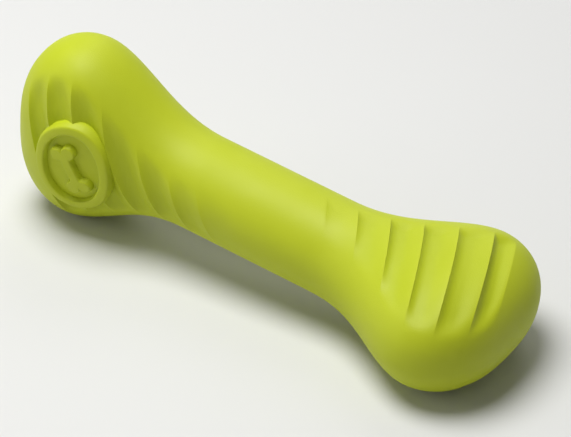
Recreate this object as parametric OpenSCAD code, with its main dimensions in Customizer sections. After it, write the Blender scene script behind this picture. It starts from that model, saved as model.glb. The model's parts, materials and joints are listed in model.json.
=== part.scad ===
// Rubber chew bone: a round bar between two flared ends that are turned across each other.
// Scooped grip ribs slant across the ends' broad faces, and one face carries a raised badge.
// The bone is worked out along X about its own middle, then set down on the lobes it rests on.

/* [Bone] */
// Length over both tips
bone_length = 210; // [180:1:240]
// Diameter of the round bar
bar_d = 36.4; // [30:0.2:42]
// Width of an end, from lobe to lobe
end_width = 78.4; // [64:0.2:90]
// Thickness of an end through its ribbed faces
end_thickness = 46.4; // [43:0.2:54]
// Length of the plain bar between the flares
plain_length = 52; // [30:1:70]
// Length of each domed tip, outside the widest place of the end
tip_length = 25.5; // [20:0.5:32]
// How square the lobes are, where 2 is an ellipse
lobe_squareness = 2.6; // [2:0.1:3]
// How flat the ribbed faces are, where 2 is an ellipse
face_squareness = 2.2; // [2:0.1:2.6]
// How late the flare opens, where 1 is even
flare_lateness = 1.25; // [1:0.05:1.4]
// Turn of the left end against the right end, in degrees
end_turn = 99; // [80:1:100]

/* [Ribs] */
// Distance from one rib's edge to the next on the right end, along the bone
right_rib_pitch = 13.2; // [11:0.1:14]
// Distance from one rib's edge to the next on the left end
left_rib_pitch = 12; // [11:0.1:13]
// Depth of the right end's scoops at their deepest
right_rib_depth = 2.1; // [0.6:0.1:2.4]
// Depth of the left end's scoops at their deepest
left_rib_depth = 2.8; // [0.6:0.1:3]
// Lean of the ribs near the bar away from straight across each face, in degrees
rib_slant = 30; // [5:0.5:30]
// Lean of the ribs at the tips, in degrees
tip_slant = 17.5; // [5:0.5:30]
// Radius that the ribs are bowed to
rib_bow_r = 357; // [300:1:900]
// Number of rib edges on an end
rib_count = 7; // [4:1:7]
// Place of the rib edge nearest the bar on the right end
right_first_rib = 22.2; // [20:0.2:28]
// Place of the rib edge nearest the bar on the left end
left_first_rib = -16; // [-20:0.5:-13]
// Height above the right end's middle plane where the scoops run out
right_rib_root = 11; // [10:0.5:14]
// Height above the left end's middle plane where the scoops run out
left_rib_root = 13; // [10:0.5:14]
// Rise over which the scoops gain their full depth
rib_run_out = 7.5; // [4:0.5:8.5]
// How far the left end's scoops reach past the middle of a face, next to the bar
left_far_reach = 7; // [3:0.5:9]
// How much farther the scoops of both ends reach there at the end's widest place
far_gain = 16.5; // [8:0.5:20]
// Length over which they run out on that side
far_fade = 6; // [4:0.5:12]

/* [Badge] */
// Length of the badge along the bone
badge_length = 31; // [24:0.5:34]
// Width of the badge across the bone
badge_width = 40; // [30:0.5:42]
// Width of the ring's band
badge_band = 3.8; // [2.5:0.1:5]
// Height of the badge above the bone
badge_relief = 1.7; // [0.6:0.1:2.2]
// Depth of the plain skin inside the ring below the smooth face
badge_recess = 0.7; // [0:0.1:1.2]
// Distance from the end's widest place in to the badge's middle
badge_inset = 8.5; // [5:0.5:13]
// Length of the small bone inside the ring
sign_length = 21; // [16:0.5:24]
// Width of the small bone's bar
sign_bar = 4.2; // [3:0.1:5.2]
// Radius of the small bone's lobes
sign_lobe_r = 2.9; // [2.4:0.1:3.4]
// Lean of the small bone from upright, in degrees
sign_lean = 28; // [0:1:60]

/* [Stance] */
// Depth of the flats where the bone rests on the ground
flat_depth = 0.5; // [0.2:0.1:0.8]

/* [Quality] */
// Points around the bone
around = 60; // [40:4:64]

/* [Hidden] */
bar_r = bar_d / 2;
flare_start = plain_length / 2;
lobe_station = bone_length / 2 - tip_length;
// the plain bar lies between the innermost scoops
left_bar = left_first_rib + left_rib_pitch;
right_bar = right_first_rib;

// along one scoop: a sharp edge, a steep wall, a round bottom and a long rise to the next edge
place_shares = [0, 0.14, 0.42, 0.66, 0.9];
depth_shares = [0, 0.7, 1, 0.73, 0.2];
// the scoops next to the bar are shallow, and the outermost one on the right end is short
first_depth_share = 0.25;
depth_gain_share = 0.35;
short_scoop_share = 0.63;

badge_place = badge_inset - lobe_station;
// the skin has no scoops under the inner part of the badge
plain_share = 0.82;
// the badge's blank is larger than the badge, and reaches below the deepest scoop
blank_share = 1.1;
root_share = 0.3;
badge_root = left_rib_depth + root_share * badge_relief;
badge_cells = 14;
// distance of the small bone's lobes from its axis, in their radius
lobe_spread_share = 0.85;

bar_rings = 6;
tip_rings = 6;
solver_steps = 15;
pole_steps = 24;
stance_steps = 6;

red_share = 0.66;
green_share = 0.71;
blue_share = 0.13;
lime = [red_share, green_share, blue_share];

// The smooth bone. Across (u) runs along an end's lobes, and through (v) runs out of its faces.
function clamped(t) = min(max(t, 0), 1);
function eased(t) = let (c = clamped(t)) c * c * (3 - 2 * c);

// how far an end has opened at x, from 0 on the bar to 1 at its widest place
function opening(x) = eased(pow(clamped((abs(x) - flare_start) / (lobe_station - flare_start)), flare_lateness));
function half_width(open) = bar_r + (end_width / 2 - bar_r) * open;
function half_thickness(open) = bar_r + (end_thickness / 2 - bar_r) * open;
function across_power(open) = 2 + (lobe_squareness - 2) * open;
function through_power(open) = 2 + (face_squareness - 2) * open;
function tip_share(x) = pow(max(0, abs(x) - lobe_station) / tip_length, 2);

function turn(x) = x < 0 ? end_turn : 0;
function across(angle, y, z) = y * cos(angle) + z * sin(angle);
function through(angle, y, z) = z * cos(angle) - y * sin(angle);

// under 1 inside the bone and over 1 outside it
function level(x, y, z) =
    let (open = opening(x), angle = turn(x))
    pow(abs(across(angle, y, z)) / half_width(open), across_power(open))
    + pow(abs(through(angle, y, z)) / half_thickness(open), through_power(open))
    + tip_share(x);

// height of a face above the end's middle plane
function face_height(x, u) =
    let (open = opening(x), left_over = 1 - tip_share(x) - pow(abs(u) / half_width(open), across_power(open)))
    half_thickness(open) * pow(max(0, left_over), 1 / through_power(open));

// The skin is made of slanted and slightly bowed sections, so its edges run along the ribs.
// They lean with each end's own face, and turn from one end's lean to the other's along the bar.
function turned_share(q) = eased((q - left_first_rib) / (right_first_rib - left_first_rib));
function heading(q) = end_turn * (1 - turned_share(q));
function slant(q) =
    let (outer = clamped((abs(q) - flare_start) / (bone_length / 2 - flare_start)))
    tan(rib_slant) * (1 - outer) + tan(tip_slant) * outer;
function bow(q) = (turned_share(q) - 1 / 2) / rib_bow_r;

// a section as the way it leans along, its slope and its bow
function section(q) = [cos(heading(q)), sin(heading(q)), slant(q), bow(q)];
function on_section(q, section, y, z) =
    let (along = section[0] * y + section[1] * z)
    [q - (section[2] + section[3] * along) * along, y, z];

// The poles are where the first and last sections shrink to a point on the domed tips.
function dome(side, u) =
    side * (lobe_station + tip_length * sqrt(max(0, 1 - pow(2 * abs(u) / end_width, lobe_squareness))));
function section_of(side, u) = dome(side, u) + (tan(tip_slant) + side * u / 2 / rib_bow_r) * u;

function pole_across(side, low = 0, high = end_width / 2, steps = pole_steps) =
    let (third = (high - low) / 3, a = side * (low + third), b = side * (high - third))
    steps == 0 ? side * (low + high) / 2
    : side * section_of(side, a) > side * section_of(side, b)
        ? pole_across(side, low, high - third, steps - 1)
        : pole_across(side, low + third, high, steps - 1);

function pole(side) =
    let (u = pole_across(side))
    [dome(side, u), u * cos(turn(side)), u * sin(turn(side))];

left_pole = pole(-1);
right_pole = pole(1);
left_end = section_of(-1, pole_across(-1));
right_end = section_of(1, pole_across(1));

// the middles of the sections follow the bar, then run straight to the pole
function middle(q) =
    let (
        bend = [sign(q) * lobe_station, 0, 0],
        pole = q < 0 ? left_pole : right_pole,
        share = (q - bend.x) / ((q < 0 ? left_end : right_end) - bend.x)
    )
    share > 0 ? bend + (pole - bend) * share : [q, 0, 0];

// the skin's point on section q, from its middle along a way given as [y, z]
function reach(q, section, from, way, low = 0, high = end_width, steps = solver_steps) =
    let (
        mid = (low + high) / 2,
        p = on_section(q, section, from.y + mid * way.x, from.z + mid * way.y)
    )
    steps == 0 ? p
    : level(p.x, p.y, p.z) < 1 ? reach(q, section, from, way, mid, high, steps - 1)
    : reach(q, section, from, way, low, mid, steps - 1);

// the scoops stop short of each face's far side, on a line that opens with the flare
function far_limit(q) =
    let (flared = max(0, abs(q) - flare_start) / (lobe_station - flare_start))
    (q < 0 ? left_far_reach : 0) + far_gain * pow(flared, 3 / 2);
function far_share(q, u, v) = eased(0.5 + (far_limit(q) - sign(q) * sign(v) * u) / far_fade);

function off_badge_share(x, u, v) =
    x > 0 || v < 0 ? 1
    : eased((norm([(x - badge_place) / badge_length, u / badge_width]) * 2 - plain_share) / (1 - plain_share));

function scooped(q, section, depth, p) =
    let (
        angle = turn(q),
        u = across(angle, p.y, p.z),
        v = through(angle, p.y, p.z),
        root = q < 0 ? left_rib_root : right_rib_root,
        face_share = eased((abs(v) - root) / rib_run_out),
        scoop_cut = depth * face_share * far_share(q, u, v),
        free_share = off_badge_share(p.x, u, v),
        cut = sign(v) * (scoop_cut * free_share + badge_recess * (1 - free_share))
    )
    on_section(q, section, p.y + cut * sin(angle), p.z - cut * cos(angle));

function ring(q, depth) =
    let (section = section(q), from = middle(q))
    [
        for (i = [0 : around - 1])
            let (way = [cos(360 * i / around), sin(360 * i / around)])
            scooped(q, section, depth, reach(q, section, from, way))
    ];

// Each station is the place of a section and the depth of the scoop there.
function scoop(from, to, full_depth, number) = [
    for (i = [0 : len(place_shares) - 1])
        [
            from + (to - from) * place_shares[i],
            full_depth * depth_shares[i] * min(1, first_depth_share + depth_gain_share * number)
        ]
];

function right_edge(i) =
    right_first_rib + right_rib_pitch * (i < rib_count - 1 ? i : i - 1 + short_scoop_share);

function flattened(lists) = [for (list = lists) for (item = list) item];

rib_stations = concat(
    flattened([
        for (i = [rib_count - 1 : -1 : 0])
            let (edge = left_first_rib - left_rib_pitch * i)
            scoop(edge, edge + left_rib_pitch, left_rib_depth, i)
    ]),
    [for (i = [0 : bar_rings - 1]) [left_bar + (right_bar - left_bar) * i / bar_rings, 0]],
    flattened([for (i = [0 : rib_count - 2]) scoop(right_edge(i), right_edge(i + 1), right_rib_depth, i)]),
    [[right_edge(rib_count - 1), 0]]
);

tip_margin = tip_length / 16;
kept_stations = [
    for (s = rib_stations)
        if (s[0] > left_end + tip_margin && s[0] < right_end - tip_margin) s
];

function tip_stations(from, to) = [
    for (i = [1 : tip_rings]) [from + (to - from) * sin(90 * i / (tip_rings + 1)), 0]
];

first_kept = kept_stations[0][0];
last_kept = kept_stations[len(kept_stations) - 1][0];
left_tip = tip_stations(first_kept, left_end);
stations = concat(
    [for (i = [tip_rings - 1 : -1 : 0]) left_tip[i]],
    kept_stations,
    tip_stations(last_kept, right_end)
);

bone_points = concat([left_pole], flattened([for (s = stations) ring(s[0], s[1])]), [right_pole]);

// Setting down: the right end lies flat and the left end stands on one lobe, so the bar slopes.
function tipped(p, tilt) = [p.x * cos(tilt) + p.z * sin(tilt), p.y, p.z * cos(tilt) - p.x * sin(tilt)];
function lowest(side, tilt) = min([for (p = bone_points) if (side * p.x > 0) tipped(p, tilt).z]);

// evens out how low the two ends reach
function stance(tilt, steps) =
    steps == 0 ? tilt
    : stance(tilt + atan((lowest(1, tilt) - lowest(-1, tilt)) / 2 / lobe_station), steps - 1);

stance_tilt = stance(0, stance_steps);
tipped_points = [for (p = bone_points) tipped(p, stance_tilt)];
tipped_x = [for (p = tipped_points) p.x];
tipped_y = [for (p = tipped_points) p.y];
tipped_z = [for (p = tipped_points) p.z];
placed = [
    -(min(tipped_x) + max(tipped_x)) / 2,
    -(min(tipped_y) + max(tipped_y)) / 2,
    -min(tipped_z) - flat_depth
];

module set_down() {
    translate(placed) rotate([0, stance_tilt, 0]) children();
}

module above_ground() {
    translate([-bone_length, -bone_length, 0]) cube([2 * bone_length, 2 * bone_length, bone_length]);
}

module bone_skin() {
    last = len(tipped_points) - 1;
    rings = len(stations);
    wall = [
        for (r = [0 : rings - 2])
            for (i = [0 : around - 1])
                let (
                    j = (i + 1) % around,
                    a = 1 + r * around + i,
                    b = 1 + r * around + j,
                    c = a + around,
                    d = b + around
                )
                each [[a, d, b], [a, c, d]]
    ];
    left_cap = [for (i = [0 : around - 1]) [0, 1 + i, 1 + (i + 1) % around]];
    right_cap = [
        for (i = [0 : around - 1])
            [last, last - around + (i + 1) % around, last - around + i]
    ];
    translate(placed) polyhedron(points = tipped_points, faces = concat(wall, left_cap, right_cap));
}

module bone_body() {
    color(lime) intersection() {
        bone_skin();
        above_ground();
    }
}

// A patch of the left end's face, thick enough to cut the badge's pieces from.
module badge_blank() {
    n = badge_cells;
    sheet = (n + 1) * (n + 1);
    function at(i, j) = i * (n + 1) + j;
    places = [
        for (i = [0 : n])
            for (j = [0 : n])
                [
                    badge_place + badge_length * blank_share * (i / n - 1 / 2),
                    badge_width * blank_share * (j / n - 1 / 2)
                ]
    ];
    points = concat(
        [for (p = places) [p.x, p.y, face_height(p.x, p.y) + badge_relief]],
        [for (p = places) [p.x, p.y, face_height(p.x, p.y) - badge_root]]
    );
    faces = [
        for (i = [0 : n - 1])
            for (j = [0 : n - 1])
                let (a = at(i, j), b = at(i + 1, j), c = at(i + 1, j + 1), d = at(i, j + 1))
                each [
                    [a, d, c], [a, c, b],
                    [a + sheet, c + sheet, d + sheet], [a + sheet, b + sheet, c + sheet]
                ]
    ];
    sides = [
        for (i = [0 : n - 1])
            let (j = i + 1)
            each [
                [at(i, 0), at(j, 0), at(j, 0) + sheet], [at(i, 0), at(j, 0) + sheet, at(i, 0) + sheet],
                [at(j, n), at(i, n), at(i, n) + sheet], [at(j, n), at(i, n) + sheet, at(j, n) + sheet],
                [at(0, j), at(0, i), at(0, i) + sheet], [at(0, j), at(0, i) + sheet, at(0, j) + sheet],
                [at(n, i), at(n, j), at(n, j) + sheet], [at(n, i), at(n, j) + sheet, at(n, i) + sheet]
            ]
    ];
    polyhedron(points = points, faces = concat(faces, sides));
}

module oval(length, width) {
    polygon([for (i = [0 : around - 1]) [length / 2 * cos(360 * i / around), width / 2 * sin(360 * i / around)]]);
}

module bone_outline(length, bar, lobe_r) {
    square([length - 2 * lobe_r, bar], center = true);
    for (x = [-1, 1] * (length / 2 - lobe_r), y = [-1, 1] * lobe_r * lobe_spread_share)
        translate([x, y]) circle(lobe_r, $fn = 24);
}

// cuts an outline from the badge's blank, on the left end's front face, and seats it on the skin
module badge_piece() {
    color(lime) difference() {
        set_down() rotate([end_turn, 0, 0]) intersection() {
            badge_blank();
            translate([badge_place, 0, 0]) linear_extrude(end_thickness) children();
        }
        bone_skin();
    }
}

module badge_ring() {
    badge_piece() difference() {
        oval(badge_length, badge_width);
        oval(badge_length - 2 * badge_band, badge_width - 2 * badge_band);
    }
}

module badge_bone() {
    badge_piece() rotate(90 + sign_lean) bone_outline(sign_length, sign_bar, sign_lobe_r);
}

bone_body();
badge_ring();
badge_bone();
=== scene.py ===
import json
import math

import bpy
import numpy as np
from mathutils import Matrix, Vector

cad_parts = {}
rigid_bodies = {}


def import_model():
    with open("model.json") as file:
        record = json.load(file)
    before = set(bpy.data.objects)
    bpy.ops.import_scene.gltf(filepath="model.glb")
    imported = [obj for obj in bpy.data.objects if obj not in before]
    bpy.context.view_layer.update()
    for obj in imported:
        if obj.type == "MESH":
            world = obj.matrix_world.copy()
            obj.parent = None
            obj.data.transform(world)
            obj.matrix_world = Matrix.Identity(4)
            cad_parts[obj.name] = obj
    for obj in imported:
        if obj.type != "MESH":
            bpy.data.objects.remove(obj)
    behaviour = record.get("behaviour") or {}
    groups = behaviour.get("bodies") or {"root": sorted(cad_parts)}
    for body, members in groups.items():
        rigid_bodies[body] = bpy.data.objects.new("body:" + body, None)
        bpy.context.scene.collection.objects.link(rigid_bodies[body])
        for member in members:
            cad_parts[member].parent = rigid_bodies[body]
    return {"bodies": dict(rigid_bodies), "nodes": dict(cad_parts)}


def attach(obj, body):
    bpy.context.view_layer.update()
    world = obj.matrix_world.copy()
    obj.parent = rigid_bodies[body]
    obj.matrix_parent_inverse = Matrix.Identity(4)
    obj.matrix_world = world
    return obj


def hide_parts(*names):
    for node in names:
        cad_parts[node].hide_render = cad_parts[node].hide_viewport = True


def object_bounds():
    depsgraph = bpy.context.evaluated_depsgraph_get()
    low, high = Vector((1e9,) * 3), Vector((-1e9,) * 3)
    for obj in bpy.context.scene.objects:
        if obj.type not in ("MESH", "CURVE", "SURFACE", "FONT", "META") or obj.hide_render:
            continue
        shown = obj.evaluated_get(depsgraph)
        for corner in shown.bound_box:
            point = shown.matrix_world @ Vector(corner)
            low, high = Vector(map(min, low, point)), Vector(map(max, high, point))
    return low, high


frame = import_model()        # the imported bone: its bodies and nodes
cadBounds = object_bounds()
body = next(iter(frame["bodies"]))
mm = 0.001
print("frame loaded:", sorted(frame["nodes"]))


# The bone's own shape, along X about its middle. Across (u) runs along an end's lobes,
# and through (v) runs out of its ribbed faces.
bone = {
    "length": 210 * mm,
    "barRadius": 18.2 * mm,
    "halfWidth": 39.2 * mm,          # of an end, across its lobes
    "halfThickness": 23.2 * mm,      # of an end, through its ribbed faces
    "flareStart": 26 * mm,           # from the bone's middle
    "tipLength": 25.5 * mm,          # outside an end's widest place
    "lobeSquareness": 2.6,           # 2 is an ellipse
    "faceSquareness": 2.2,
    "flareLateness": 1.25,           # 1 opens evenly
    "endTurn": math.radians(99),     # of the left end against the right one
    "flatDepth": 0.5 * mm,           # how much is pressed flat where it rests
    "around": 248,                   # points around a section
    "barRings": 22,
    "tipRings": 24,
    "tipBunching": 1.3,              # how much closer the rings lie at the start of a tip
    "solverSteps": 40,
    "stanceSteps": 8,
    "poleSamples": 4000,
}
bone["lobeStation"] = bone["length"] / 2 - bone["tipLength"]

# Each rib is an edge, and between two edges the face is scooped out.
ribs = {
    "rightPitch": 13.2 * mm,      # from one edge to the next
    "leftPitch": 12 * mm,
    "rightDepth": 2.1 * mm,
    "leftDepth": 2.8 * mm,
    "slant": math.tan(math.radians(30)),          # next to the bar
    "tipSlant": math.tan(math.radians(17.5)),     # at the tips
    "bowRadius": 357 * mm,
    "count": 7,                   # edges on an end
    "rightFirst": 22.2 * mm,      # place of the edge nearest the bar
    "leftFirst": -16 * mm,
    "rightRoot": 11 * mm,         # height above an end's middle plane where its scoops run out
    "leftRoot": 13 * mm,
    "runOut": 7.5 * mm,           # rise over which they gain their full depth
    "leftFarReach": 7 * mm,       # how far the left end's scoops reach past a face's middle, by the bar
    "farGain": 16.5 * mm,         # how much farther both ends' scoops reach at the widest place
    "farPower": 1.5,              # how late they gain it
    "farFade": 6 * mm,            # length over which they run out on that side
    "shortShare": 0.63,           # length of the outermost scoop on the right end
    "firstDepthShare": 0.25,      # the scoops next to the bar are shallow
    "depthGainShare": 0.35,       # what each one outwards gains
    "bottomShare": 0.42,          # place of the deepest line along a scoop
    "wallPower": 3.0,             # how steep a scoop's wall starts
    "rings": 25,                  # sections in a scoop
}

# The badge is an oval ring and a small bone on the left end's front face.
badge = {
    "place": 8.5 * mm - bone["lobeStation"],
    "length": 31 * mm,
    "width": 40 * mm,
    "plainShare": 0.82,          # the skin under it is plain out to this share of its size
    "band": 3.8 * mm,
    "relief": 1.7 * mm,
    "recess": 0.7 * mm,          # the plain skin inside it lies this much lower
    "root": 3.3 * mm,            # reaches below the deepest scoop
    "boxPower": 4.5,             # how square the band's section is
    "foot": 0.45 * mm,           # fillet where the band meets the skin
    "footHeight": 0.9 * mm,
    "turns": 200,                # points around the ring
    "sides": 32,                 # points around its band
    "blank": 0.25,               # thickness of the plain torus it is shaped from, as a share of its width
}


def eased(t):
    t = np.clip(t, 0, 1)
    return t * t * (3 - 2 * t)


def opening(x):        # how far an end has opened, from 0 on the bar to 1 at its widest place
    run = (np.abs(x) - bone["flareStart"]) / (bone["lobeStation"] - bone["flareStart"])
    return eased(np.clip(run, 0, 1) ** bone["flareLateness"])


def halfWidth(x):
    return bone["barRadius"] + (bone["halfWidth"] - bone["barRadius"]) * opening(x)


def halfThickness(x):
    return bone["barRadius"] + (bone["halfThickness"] - bone["barRadius"]) * opening(x)


def acrossPower(x):
    return 2 + (bone["lobeSquareness"] - 2) * opening(x)


def throughPower(x):
    return 2 + (bone["faceSquareness"] - 2) * opening(x)


def tipShare(x):
    return (np.maximum(0, np.abs(x) - bone["lobeStation"]) / bone["tipLength"]) ** 2


def turnAt(x):
    return np.where(x < 0, bone["endTurn"], 0.0)


def across(angle, y, z):
    return y * np.cos(angle) + z * np.sin(angle)


def through(angle, y, z):
    return z * np.cos(angle) - y * np.sin(angle)


def level(x, y, z):        # under 1 inside the bone
    angle = turnAt(x)
    wide = (np.abs(across(angle, y, z)) / halfWidth(x)) ** acrossPower(x)
    deep = (np.abs(through(angle, y, z)) / halfThickness(x)) ** throughPower(x)
    return wide + deep + tipShare(x)


def faceHeight(x, u):        # height of a broad face above the end's middle plane
    left = 1 - tipShare(x) - (np.abs(u) / halfWidth(x)) ** acrossPower(x)
    return halfThickness(x) * np.maximum(0, left) ** (1 / throughPower(x))


# The skin is made of slanted sections that run along the ribs, from pole to pole.
leftBar = ribs["leftFirst"] + ribs["leftPitch"]
rightBar = ribs["rightFirst"]


def onSection(q, y, z):        # x of the point of section q over y and z
    turned = eased((q - ribs["leftFirst"]) / (ribs["rightFirst"] - ribs["leftFirst"]))
    heading = bone["endTurn"] * (1 - turned)
    outer = np.clip((np.abs(q) - bone["flareStart"]) / (bone["length"] / 2 - bone["flareStart"]), 0, 1)
    slant = ribs["slant"] + (ribs["tipSlant"] - ribs["slant"]) * outer
    along = y * np.cos(heading) + z * np.sin(heading)
    return q - (slant + (turned - 0.5) / ribs["bowRadius"] * along) * along


def findPole(side):        # the point of a tip that the outermost section shrinks to
    u = side * np.linspace(0, bone["halfWidth"], bone["poleSamples"])
    rise = np.sqrt(np.maximum(0, 1 - (np.abs(u) / bone["halfWidth"]) ** bone["lobeSquareness"]))
    x = side * (bone["lobeStation"] + bone["tipLength"] * rise)
    section = x + (ribs["tipSlant"] + side * u / 2 / ribs["bowRadius"]) * u
    best = np.argmax(side * section)
    angle = turnAt(side)
    return np.array([x[best], u[best] * np.cos(angle), u[best] * np.sin(angle)]), section[best]


def rightEdge(i):        # place of an edge on the right end, counted from the bar
    steps = i if i < ribs["count"] - 1 else i - 1 + ribs["shortShare"]
    return ribs["rightFirst"] + ribs["rightPitch"] * steps


def farShare(q, u, v):        # the scoops stop short of each face's far side
    flared = np.maximum(0, np.abs(q) - bone["flareStart"]) / (bone["lobeStation"] - bone["flareStart"])
    limit = np.where(q < 0, ribs["leftFarReach"], 0) + ribs["farGain"] * flared ** ribs["farPower"]
    return eased(0.5 + (limit - np.sign(q) * np.sign(v) * u) / ribs["farFade"])


def offBadge(x, u, v):        # 0 under the inner part of the badge, where the skin stays plain
    outward = 2 * np.hypot((x - badge["place"]) / badge["length"], u / badge["width"])
    share = eased((outward - badge["plainShare"]) / (1 - badge["plainShare"]))
    return np.where((x > 0) | (v < 0), 1.0, share)


def scoopProfile(t):        # sharp edge, round wall, then a long rise to the next edge
    wall = 1 - (1 - np.clip(t / ribs["bottomShare"], 0, 1)) ** ribs["wallPower"]
    rise = np.clip((t - ribs["bottomShare"]) / (1 - ribs["bottomShare"]), 0, 1)
    return wall - rise * rise * (2 - rise)


def scoopStations(start, end, fullDepth, number):        # closer together at the edges
    shares = (1 - np.cos(math.pi * np.arange(ribs["rings"]) / ribs["rings"])) / 2
    depth = fullDepth * min(1, ribs["firstDepthShare"] + ribs["depthGainShare"] * number)
    return [(start + (end - start) * t, depth * scoopProfile(t)) for t in shares]


def skinStations(leftEnd, rightEnd):        # place and scoop depth of each section
    rows = []
    for i in reversed(range(ribs["count"])):
        start = ribs["leftFirst"] - ribs["leftPitch"] * i
        rows += scoopStations(start, start + ribs["leftPitch"], ribs["leftDepth"], i)
    rows += [(q, 0.0) for q in np.linspace(leftBar, rightBar, bone["barRings"], endpoint=False)]
    for i in range(ribs["count"] - 1):
        rows += scoopStations(rightEdge(i), rightEdge(i + 1), ribs["rightDepth"], i)
    rows.append((rightEdge(ribs["count"] - 1), 0.0))
    first, last = rows[0][0], rows[-1][0]
    turns = math.pi / 2 * np.arange(1, bone["tipRings"] + 1) / (bone["tipRings"] + 1)
    bends = np.sin(turns) ** bone["tipBunching"]
    leftTip = [(first + (leftEnd - first) * b, 0.0) for b in bends]
    rightTip = [(last + (rightEnd - last) * b, 0.0) for b in bends]
    return np.array(leftTip[::-1] + rows + rightTip)


def skinPoints():        # points by section in the bone's own frame, the share of full scoop depth at each (the mask for the painted shade in the scoops), and the poles
    leftPole, leftEnd = findPole(-1)
    rightPole, rightEnd = findPole(1)
    stations = skinStations(leftEnd, rightEnd)
    q, depth = stations[:, :1], stations[:, 1:]
    bend = np.sign(q) * bone["lobeStation"]
    share = np.clip((q - bend) / (np.where(q < 0, leftEnd, rightEnd) - bend), 0, 1)
    pole = np.where(q < 0, leftPole, rightPole)
    fromY, fromZ = share * pole[:, 1:2], share * pole[:, 2:3]
    way = 2 * math.pi * np.arange(bone["around"]) / bone["around"]
    wayY, wayZ = np.cos(way)[None, :], np.sin(way)[None, :]
    low = np.zeros((len(stations), bone["around"]))
    high = low + 2 * bone["halfWidth"]        # surely outside
    for step in range(bone["solverSteps"]):        # halves the reach until it meets the skin
        reach = (low + high) / 2
        y, z = fromY + reach * wayY, fromZ + reach * wayZ
        inside = level(onSection(q, y, z), y, z) < 1
        low, high = np.where(inside, reach, low), np.where(inside, high, reach)
    angle = turnAt(q)
    u, v = across(angle, y, z), through(angle, y, z)
    onFace = eased((np.abs(v) - np.where(q < 0, ribs["leftRoot"], ribs["rightRoot"])) / ribs["runOut"])
    free = offBadge(onSection(q, y, z), u, v)
    scooped = free * depth * onFace * farShare(q, u, v)
    cut = np.sign(v) * (scooped + (1 - free) * badge["recess"])
    y, z = y + cut * np.sin(angle), z - cut * np.cos(angle)
    # share of full scoop depth, the mask for the painted shade in the scoops
    hollowShade = scooped / np.where(q < 0, ribs["leftDepth"], ribs["rightDepth"])
    return np.stack([onSection(q, y, z), y, z], -1), hollowShade, leftPole, rightPole


def tipped(points, tilt):
    x, y, z = points[..., 0], points[..., 1], points[..., 2]
    c, s = math.cos(tilt), math.sin(tilt)
    return np.stack([x * c + z * s, y, z * c - x * s], -1)


def findStance(points):        # the tilt at which both ends reach equally low, and the shift to the ground
    flat, tilt = points.reshape(-1, 3), 0.0
    for step in range(bone["stanceSteps"]):
        z = tipped(flat, tilt)[:, 2]
        lows = [z[flat[:, 0] * side > 0].min() for side in (1, -1)]
        tilt += math.atan((lows[0] - lows[1]) / 2 / bone["lobeStation"])
    spread = tipped(flat, tilt)
    low, high = spread.min(0), spread.max(0)
    middle = (low + high) / 2
    return tilt, np.array([-middle[0], -middle[1], -low[2] - bone["flatDepth"]])


sections, hollowShades, leftPole, rightPole = skinPoints()
stanceTilt, placed = findStance(sections)
print("skin worked out,", len(sections), "rings")
print("it comes to rest tilted by", round(math.degrees(stanceTilt), 2), "degrees")


def fitToCad():        # the solid's flat facets make its box a touch smaller than the smooth skin's
    settled = (tipped(sections, stanceTilt) + placed).reshape(-1, 3)
    low, high = np.array(cadBounds[0]), np.array(cadBounds[1])
    own = settled.max(0) - np.array([settled[:, 0].min(), settled[:, 1].min(), 0])
    return (high - low) / own


cadFit = fitToCad()


def setDown(points):        # from the bone's own frame to the ground
    return (tipped(points, stanceTilt) + placed) * cadFit


def toFace(x, u, v):        # from the left end's own frame to the ground
    c, s = math.cos(bone["endTurn"]), math.sin(bone["endTurn"])
    return setDown(np.stack([x, u * c - v * s, u * s + v * c], -1))


# Materials
rubber = {
    "warm": (178, 189, 22),
    "deep": (172, 184, 12),      # painted shade in the scoops, and a random deeper tone here and there elsewhere
    "cloudScale": 38,
    "cloudDetail": 4,
    "cloudRange": (0.35, 0.65),  # the noise from wholly warm to as deep as the clouds get
    "cloudShare": 0.4,           # how deep that is
    "roughness": 0.57,
    "roughnessSpread": 0.05,
    "ior": 1.42,
    "grainScale": 1900,
    "grainDetail": 3,
    "grainRoughness": 0.6,
    "grainHeight": 0.06 * mm,
    "badgeGrainShare": 0.5,      # height of the grain on the badge, in heights of the skin's
    "swellScale": 150,
    "swellDetail": 1,
    "swellShare": 1.2,           # height of the soft unevenness, in heights of the grain
}


def linear(rgb):        # from a screen's 0 to 255 to Blender's linear colour, by the sRGB curve
    return tuple(((c / 255 + 0.055) / 1.055) ** 2.4 if c > 10 else c / 255 / 12.92 for c in rgb) + (1.0,)


def link(tree, fromNode, fromSocket, toNode, toSocket):
    tree.links.new(fromNode.outputs[fromSocket], toNode.inputs[toSocket])


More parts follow.
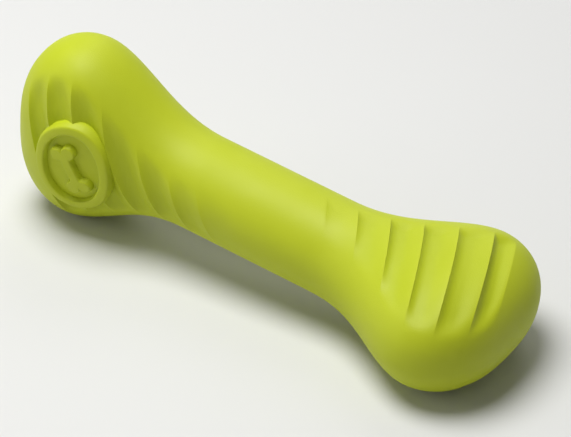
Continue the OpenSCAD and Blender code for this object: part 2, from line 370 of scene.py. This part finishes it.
def toneAndShadeGroup():        # soft uneven tone of moulded rubber, with painted shade deeper in the scoops
    group = bpy.data.node_groups.new("mouldedToneAndShade", "ShaderNodeTree")
    for name in ("Warm", "Deep Tone And Shade"):
        group.interface.new_socket(name, in_out="INPUT", socket_type="NodeSocketColor")
    for name in ("Scale", "Cloud Share", "Hollow Shade"):
        group.interface.new_socket(name, in_out="INPUT", socket_type="NodeSocketFloat")
    group.interface.new_socket("Color", in_out="OUTPUT", socket_type="NodeSocketColor")
    group.interface.new_socket("Mask", in_out="OUTPUT", socket_type="NodeSocketFloat")
    nodes = group.nodes
    inside, outside = nodes.new("NodeGroupInput"), nodes.new("NodeGroupOutput")
    place = nodes.new("ShaderNodeTexCoord")
    noise = nodes.new("ShaderNodeTexNoise")
    noise.inputs["Detail"].default_value = rubber["cloudDetail"]
    ramp = nodes.new("ShaderNodeMapRange")
    ramp.inputs["From Min"].default_value, ramp.inputs["From Max"].default_value = rubber["cloudRange"]
    share = nodes.new("ShaderNodeMath")
    share.operation, share.use_clamp = "MULTIPLY_ADD", True
    blend = nodes.new("ShaderNodeMix")
    blend.data_type = "RGBA"
    link(group, place, "Object", noise, "Vector")
    link(group, inside, "Scale", noise, "Scale")
    link(group, noise, "Fac", ramp, "Value")
    link(group, ramp, "Result", share, 0)
    link(group, inside, "Cloud Share", share, 1)
    # the hollow mask paints shade into the scoops, on top of the random cloudy tone
    link(group, inside, "Hollow Shade", share, 2)
    link(group, share, 0, blend, 0)
    link(group, inside, "Warm", blend, 6)        # a colour Mix's own sockets are 6, 7 and 2
    link(group, inside, "Deep Tone And Shade", blend, 7)
    link(group, blend, 2, outside, "Color")
    link(group, ramp, "Result", outside, "Mask")
    return group


def grainGroup():        # fine grain that the mould leaves, on a soft unevenness of the rubber
    group = bpy.data.node_groups.new("mouldGrain", "ShaderNodeTree")
    for name in ("Grain Scale", "Swell Scale", "Swell Share"):
        group.interface.new_socket(name, in_out="INPUT", socket_type="NodeSocketFloat")
    group.interface.new_socket("Height", in_out="OUTPUT", socket_type="NodeSocketFloat")
    nodes = group.nodes
    inside, outside = nodes.new("NodeGroupInput"), nodes.new("NodeGroupOutput")
    place = nodes.new("ShaderNodeTexCoord")
    fine, broad = nodes.new("ShaderNodeTexNoise"), nodes.new("ShaderNodeTexNoise")
    fine.inputs["Detail"].default_value = rubber["grainDetail"]
    fine.inputs["Roughness"].default_value = rubber["grainRoughness"]
    broad.inputs["Detail"].default_value = rubber["swellDetail"]
    both = nodes.new("ShaderNodeMath")
    both.operation = "MULTIPLY_ADD"
    link(group, place, "Object", fine, "Vector")
    link(group, place, "Object", broad, "Vector")
    link(group, inside, "Grain Scale", fine, "Scale")
    link(group, inside, "Swell Scale", broad, "Scale")
    link(group, broad, "Fac", both, 0)
    link(group, inside, "Swell Share", both, 1)
    link(group, fine, "Fac", both, 2)
    link(group, both, 0, outside, "Height")
    return group


def rubberMaterial(name, toneAndShade, grain, grainShare):
    material = bpy.data.materials.new(name)
    material.use_nodes = True
    tree = material.node_tree
    shader = tree.nodes["Principled BSDF"]
    toneAndShadeNode, grainNode = tree.nodes.new("ShaderNodeGroup"), tree.nodes.new("ShaderNodeGroup")
    toneAndShadeNode.node_tree, grainNode.node_tree = toneAndShade, grain
    toneAndShadeNode.inputs["Warm"].default_value = linear(rubber["warm"])
    toneAndShadeNode.inputs["Deep Tone And Shade"].default_value = linear(rubber["deep"])
    toneAndShadeNode.inputs["Scale"].default_value = rubber["cloudScale"]
    toneAndShadeNode.inputs["Cloud Share"].default_value = rubber["cloudShare"]
    grainNode.inputs["Grain Scale"].default_value = rubber["grainScale"]
    grainNode.inputs["Swell Scale"].default_value = rubber["swellScale"]
    grainNode.inputs["Swell Share"].default_value = rubber["swellShare"]
    # the skin's hollow attribute, which paints shade into the scoops
    hollowShade = tree.nodes.new("ShaderNodeAttribute")
    hollowShade.attribute_name = "hollowShade"
    link(tree, hollowShade, "Fac", toneAndShadeNode, "Hollow Shade")
    roughness = tree.nodes.new("ShaderNodeMapRange")
    roughness.inputs["To Min"].default_value = rubber["roughness"] - rubber["roughnessSpread"]
    roughness.inputs["To Max"].default_value = rubber["roughness"] + rubber["roughnessSpread"]
    bump = tree.nodes.new("ShaderNodeBump")
    bump.inputs["Distance"].default_value = rubber["grainHeight"] * grainShare
    link(tree, toneAndShadeNode, "Color", shader, "Base Color")
    link(tree, toneAndShadeNode, "Mask", roughness, "Value")
    link(tree, roughness, "Result", shader, "Roughness")
    link(tree, grainNode, "Height", bump, "Height")
    link(tree, bump, "Normal", shader, "Normal")
    shader.inputs["IOR"].default_value = rubber["ior"]
    return material


toneAndShade, grain = toneAndShadeGroup(), grainGroup()
skinRubber = rubberMaterial("limeRubber", toneAndShade, grain, 1.0)
badgeRubber = rubberMaterial("limeRubberBadge", toneAndShade, grain, rubber["badgeGrainShare"])


def finishPiece(piece, name, material, node):
    piece.name = piece.data.name = name
    piece.data.materials.clear()
    piece.data.materials.append(material)
    bpy.ops.object.select_all(action="DESELECT")
    piece.select_set(True)
    bpy.context.view_layer.objects.active = piece
    bpy.ops.object.shade_smooth()
    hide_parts(node)
    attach(piece, body)
    print(name, "made,", len(piece.data.polygons), "faces")


def movePoints(piece, points):
    piece.data.vertices.foreach_set("co", np.asarray(points, np.float32).ravel())
    piece.data.update()


def pointsOf(piece):
    points = np.empty(len(piece.data.vertices) * 3, np.float32)
    piece.data.vertices.foreach_get("co", points)
    return points.reshape(-1, 3)


# Skin: a sphere whose rows become the slanted sections
def makeSkin():
    bpy.ops.object.select_all(action="DESELECT")
    rows = len(sections) + 1
    bpy.ops.mesh.primitive_uv_sphere_add(segments=bone["around"], ring_count=rows, radius=1)
    skin = bpy.context.object
    ball = pointsOf(skin)
    row = np.rint(np.arccos(np.clip(ball[:, 2], -1, 1)) / math.pi * rows).astype(int)
    turn = np.arctan2(ball[:, 1], ball[:, 0]) / (2 * math.pi)
    column = np.rint(turn * bone["around"]).astype(int) % bone["around"]
    section = np.clip(len(sections) - row, 0, len(sections) - 1)
    points = sections[section, column]
    points[row == 0] = rightPole
    points[row == rows] = leftPole
    points = setDown(points)
    points[:, 2] = np.maximum(points[:, 2], 0)        # pressed flat where it rests
    movePoints(skin, points)
    # how hollow each point is, the mask for the painted shade in the scoops
    hollowShade = skin.data.attributes.new("hollowShade", "FLOAT", "POINT")
    hollowShade.data.foreach_set("value", hollowShades[section, column])
    finishPiece(skin, "bone_skin", skinRubber, "bone_body")


makeSkin()

# The badge's pieces are made flat and then wrapped onto the face.
sign = {
    "length": 21 * mm,
    "bar": 4.2 * mm,
    "lobeRadius": 2.9 * mm,
    "spread": 0.85,              # distance of a lobe's middle from the bone's axis, in lobe radii
    "blend": 1.4 * mm,           # rounds the corners between bar and lobes
    "edge": 0.7 * mm,            # width of the rounded shoulder
    "foot": 0.5 * mm,
    "lean": math.radians(90 + 28),        # from along the big bone to 28 degrees past upright
    "cell": 0.16 * mm,
    "margin": 1.5 * mm,          # the grid that it is cut from is larger by this on each side
    "hem": 0.3 * mm,             # upright border below the wall, which its underside closes
}


def wrapOntoFace(piece):        # flat x and y run along and across the face, and z stands on it
    flat = pointsOf(piece).astype(float)
    x, u = badge["place"] + flat[:, 0], flat[:, 1]
    movePoints(piece, toFace(x, u, faceHeight(x, u) + flat[:, 2]))


def makeBadgeRing():
    bpy.ops.object.select_all(action="DESELECT")
    bpy.ops.mesh.primitive_torus_add(
        major_segments=badge["turns"], minor_segments=badge["sides"],
        major_radius=1, minor_radius=badge["blank"])
    ring = bpy.context.object
    torus = pointsOf(ring).astype(float)
    turn = np.arctan2(torus[:, 1], torus[:, 0])
    around = np.arctan2(torus[:, 2], np.hypot(torus[:, 0], torus[:, 1]) - 1)
    power = 2 / badge["boxPower"]
    side = np.sign(np.cos(around)) * np.abs(np.cos(around)) ** power
    rise = np.sign(np.sin(around)) * np.abs(np.sin(around)) ** power
    height = np.where(rise > 0, rise * badge["relief"], rise * badge["root"])
    flare = badge["foot"] * np.clip(1 - height / badge["footHeight"], 0, 1) ** 2
    offset = side * badge["band"] / 2 + np.sign(side) * np.minimum(flare, badge["foot"])
    a, b = (badge["length"] - badge["band"]) / 2, (badge["width"] - badge["band"]) / 2
    normal = np.stack([b * np.cos(turn), a * np.sin(turn)])
    normal /= np.hypot(*normal)
    x, y = a * np.cos(turn) + normal[0] * offset, b * np.sin(turn) + normal[1] * offset
    movePoints(ring, np.stack([x, y, height], -1))
    wrapOntoFace(ring)
    finishPiece(ring, "badge_ring_relief", badgeRubber, "badge_ring")


def signDistance(x, y):        # distance outside the small bone's outline, negative inside
    end, r = sign["length"] / 2 - sign["lobeRadius"], sign["lobeRadius"]
    barX, barY = np.abs(x) - end, np.abs(y) - sign["bar"] / 2
    bar = np.hypot(np.maximum(barX, 0), np.maximum(barY, 0)) + np.minimum(np.maximum(barX, barY), 0)
    lobes = np.hypot(np.abs(x) - end, np.abs(y) - sign["spread"] * r) - r
    mix = np.clip(0.5 + (lobes - bar) / (2 * sign["blend"]), 0, 1)
    return lobes * (1 - mix) + bar * mix - sign["blend"] * mix * (1 - mix)


def makeBadgeBone():
    bpy.ops.object.select_all(action="DESELECT")
    long = sign["length"] + 2 * sign["margin"]
    wide = 2 * (1 + sign["spread"]) * sign["lobeRadius"] + 2 * sign["margin"]
    bpy.ops.mesh.primitive_grid_add(
        x_subdivisions=round(long / sign["cell"]), y_subdivisions=round(wide / sign["cell"]), size=1)
    piece = bpy.context.object
    grid = pointsOf(piece).astype(float)
    x, y = grid[:, 0] * long, grid[:, 1] * wide
    gap = signDistance(x, y)
    shoulder = np.sqrt(1 - (1 - np.clip(-gap / sign["edge"], 0, 1)) ** 2)
    height = shoulder * badge["relief"] - badge["root"] * np.clip(gap / sign["foot"], 0, 1)
    c, s = math.cos(sign["lean"]), math.sin(sign["lean"])
    movePoints(piece, np.stack([x * c - y * s, x * s + y * c, height], -1))
    outside = gap > sign["foot"]
    bpy.ops.object.mode_set(mode="EDIT")
    bpy.ops.mesh.select_mode(type="FACE")
    bpy.ops.mesh.select_all(action="DESELECT")
    bpy.ops.object.mode_set(mode="OBJECT")
    picked = [all(outside[v] for v in face.vertices) for face in piece.data.polygons]
    piece.data.polygons.foreach_set("select", picked)
    bpy.ops.object.mode_set(mode="EDIT")
    bpy.ops.mesh.delete(type="FACE")
    bpy.ops.mesh.select_all(action="DESELECT")
    bpy.ops.mesh.select_mode(type="EDGE")
    bpy.ops.mesh.select_non_manifold()
    bpy.ops.mesh.extrude_edges_move(TRANSFORM_OT_translate={"value": (0, 0, -sign["hem"])})
    bpy.ops.mesh.edge_face_add()        # closes the hidden underside
    bpy.ops.mesh.select_all(action="SELECT")
    bpy.ops.mesh.normals_make_consistent(inside=False)
    bpy.ops.object.mode_set(mode="OBJECT")
    wrapOntoFace(piece)
    finishPiece(piece, "badge_bone_relief", badgeRubber, "badge_bone")


makeBadgeRing()
makeBadgeBone()

# Floor, light and camera
studio = {
    "floorSize": 6.0,
    "floorColor": (216, 216, 214),
    "floorRoughness": 0.9,
    "fadeStart": 0.2,            # distance from the bone at which the lit floor begins to fade
    "fadeEnd": 0.6,
    "backdrop": 0.84,            # brightness of all that lies farther off
    "worldStrength": 0.145,
    "lampDistance": 1.1,
    "lampSize": 0.7,
    "lamps": {
        "topLamp": {"azimuth": -60, "elevation": 75, "power": 12.8},
        "frontLamp": {"azimuth": -55, "elevation": 16, "power": 2.1},
        "backLamp": {"azimuth": -160, "elevation": 45, "power": 1.8},
    },
}

view = {
    "azimuth": 29.5,            # degrees, turned from -Y towards +X
    "elevation": 34.2,
    "roll": 3.95,
    "distance": 1323 * mm,
    "pictureWidth": 571,
    "pictureHeight": 437,
    "middlePixel": (267.8, 214.3),        # where the bone's own middle shows
    "pixelSize": 0.3637 * mm,             # at the bone's own middle
}


def makeCamera():
    data = bpy.data.cameras.new("photoCamera")
    camera = bpy.data.objects.new("photoCamera", data)
    bpy.context.scene.collection.objects.link(camera)
    turn = Matrix.Rotation(math.radians(view["azimuth"]), 4, "Z")
    turn @= Matrix.Rotation(math.radians(90 - view["elevation"]), 4, "X")
    turn @= Matrix.Rotation(math.radians(view["roll"]), 4, "Z")
    back = turn.to_3x3() @ Vector((0, 0, 1))
    camera.matrix_world = Matrix.Translation(Vector(placed) + back * view["distance"]) @ turn
    width, height = view["pictureWidth"], view["pictureHeight"]
    data.lens = data.sensor_width * view["distance"] / (view["pixelSize"] * width)
    data.shift_x = (width / 2 - view["middlePixel"][0]) / width
    data.shift_y = (view["middlePixel"][1] - height / 2) / width
    bpy.context.scene.camera = camera


def directRay(tree):        # 1 for rays that show the background, 0 for those that light the object
    path = tree.nodes.new("ShaderNodeLightPath")
    seen = path.outputs["Is Camera Ray"]
    for ray in ("Is Glossy Ray", "Is Transmission Ray"):
        either = tree.nodes.new("ShaderNodeMath")
        either.operation = "MAXIMUM"
        tree.links.new(seen, either.inputs[0])
        tree.links.new(path.outputs[ray], either.inputs[1])
        seen = either.outputs[0]
    return seen


def makeFloor():        # lit and shadowed by the bone, and fading into the backdrop
    bpy.ops.object.select_all(action="DESELECT")
    bpy.ops.mesh.primitive_plane_add(size=studio["floorSize"], location=(0, 0, 0))
    floor = bpy.context.object
    floor.name = "floor"
    material = bpy.data.materials.new("paleFloor")
    material.use_nodes = True
    tree = material.node_tree
    shader, out = tree.nodes["Principled BSDF"], tree.nodes["Material Output"]
    shader.inputs["Base Color"].default_value = linear(studio["floorColor"])
    shader.inputs["Roughness"].default_value = studio["floorRoughness"]
    place, length = tree.nodes.new("ShaderNodeTexCoord"), tree.nodes.new("ShaderNodeVectorMath")
    length.operation = "LENGTH"
    fade = tree.nodes.new("ShaderNodeMapRange")
    fade.interpolation_type = "SMOOTHSTEP"
    fade.inputs["From Min"].default_value = studio["fadeStart"]
    fade.inputs["From Max"].default_value = studio["fadeEnd"]
    share = tree.nodes.new("ShaderNodeMath")
    share.operation = "MULTIPLY"
    farFloor, mix = tree.nodes.new("ShaderNodeEmission"), tree.nodes.new("ShaderNodeMixShader")
    farFloor.inputs["Strength"].default_value = studio["backdrop"]
    link(tree, place, "Object", length, 0)
    link(tree, length, "Value", fade, "Value")
    link(tree, fade, "Result", share, 0)
    tree.links.new(directRay(tree), share.inputs[1])
    link(tree, share, 0, mix, 0)
    link(tree, shader, 0, mix, 1)
    link(tree, farFloor, 0, mix, 2)
    link(tree, mix, 0, out, "Surface")
    floor.data.materials.append(material)


def makeWorld():
    world = bpy.data.worlds.new("softWorld")
    bpy.context.scene.world = world
    world.use_nodes = True
    tree = world.node_tree
    tree.nodes.clear()
    out, mix = tree.nodes.new("ShaderNodeOutputWorld"), tree.nodes.new("ShaderNodeMixShader")
    lighting, backdrop = tree.nodes.new("ShaderNodeBackground"), tree.nodes.new("ShaderNodeBackground")
    for background, strength in ((lighting, "worldStrength"), (backdrop, "backdrop")):
        background.inputs["Color"].default_value = (1, 1, 1, 1)
        background.inputs["Strength"].default_value = studio[strength]
    tree.links.new(directRay(tree), mix.inputs[0])
    link(tree, lighting, 0, mix, 1)
    link(tree, backdrop, 0, mix, 2)
    link(tree, mix, 0, out, 0)


def makeLamp(name, azimuth, elevation, power):        # turned from -Y towards +X, as the camera is
    data = bpy.data.lights.new(name, "AREA")
    data.shape, data.size, data.energy = "DISK", studio["lampSize"], power
    lamp = bpy.data.objects.new(name, data)
    bpy.context.scene.collection.objects.link(lamp)
    turn, lift = math.radians(azimuth), math.radians(elevation)
    away = Vector((math.sin(turn) * math.cos(lift), -math.cos(turn) * math.cos(lift), math.sin(lift)))
    lamp.location = away * studio["lampDistance"]
    lamp.rotation_mode = "QUATERNION"
    lamp.rotation_quaternion = away.to_track_quat("Z", "Y")
    lamp.visible_camera = False


makeCamera()
makeFloor()
makeWorld()
for name, lamp in studio["lamps"].items():
    makeLamp(name, **lamp)
bpy.context.scene.view_settings.view_transform = "Standard"
print("studio set")
